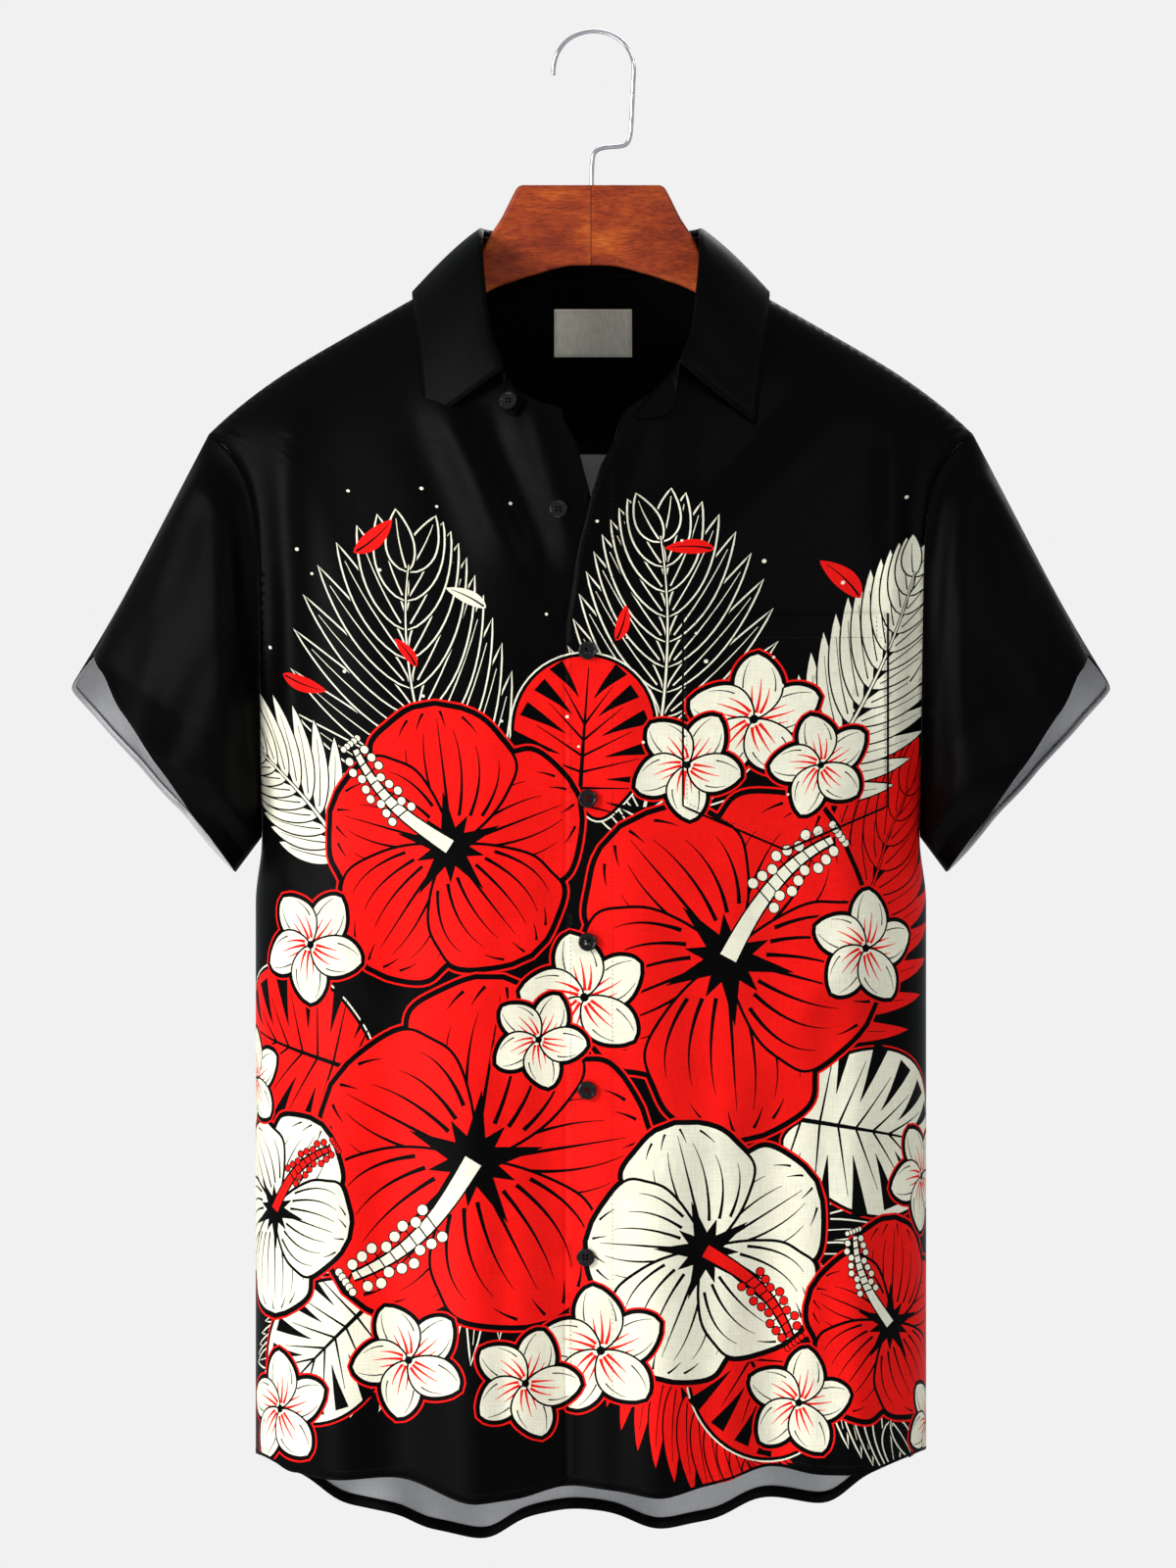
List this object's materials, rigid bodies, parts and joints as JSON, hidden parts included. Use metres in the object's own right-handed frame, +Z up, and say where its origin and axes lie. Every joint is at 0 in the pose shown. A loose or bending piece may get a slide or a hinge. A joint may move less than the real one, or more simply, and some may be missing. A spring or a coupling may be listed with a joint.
{
  "type": "hawaiian shirt on a hanger",
  "caption": "Short-sleeved button-front shirt with an open collar and a chest pocket, hanging on a wooden hanger with a bent wire hook.",
  "frame": {"origin": "where the inside of the hook rests on a rail, in the middle of the shirt's thickness", "axes": "+Z up, front of the shirt towards -Y, +X towards the wearer's left sleeve"},
  "size_m": [0.6334, 0.1909, 0.9261],
  "materials": {
    "under_front_cloth": "soft woven",
    "over_front_cloth": "soft woven",
    "back_cloth": "soft woven",
    "yoke_cloth": "soft woven",
    "facing_cloth": "soft woven",
    "right_sleeve_cloth": "soft woven",
    "left_sleeve_cloth": "soft woven",
    "stand_cloth": "soft woven",
    "leaf_cloth": "soft woven",
    "pocket_cloth": "soft woven",
    "label_weave": "matte woven",
    "button_resin": "polished",
    "right_bar_wood": "varnished",
    "left_bar_wood": "varnished",
    "hook_chrome": "polished"
  },
  "bodies": {
    "root": {"front_right": "under_front_cloth", "front_left": "over_front_cloth", "back": "back_cloth", "yoke": "yoke_cloth", "yoke_facing": "facing_cloth", "sleeve_right": "right_sleeve_cloth", "sleeve_left": "left_sleeve_cloth", "collar_stand": "stand_cloth", "collar_leaf": "leaf_cloth", "pocket": "pocket_cloth", "label": "label_weave", "button_1": "button_resin", "button_2": "button_resin", "button_3": "button_resin", "button_4": "button_resin", "button_5": "button_resin", "button_6": "button_resin", "button_7": "button_resin", "hanger_bar_right": "right_bar_wood", "hanger_bar_left": "left_bar_wood", "hanger_hook": "hook_chrome"}
  },
  "joints": []
}
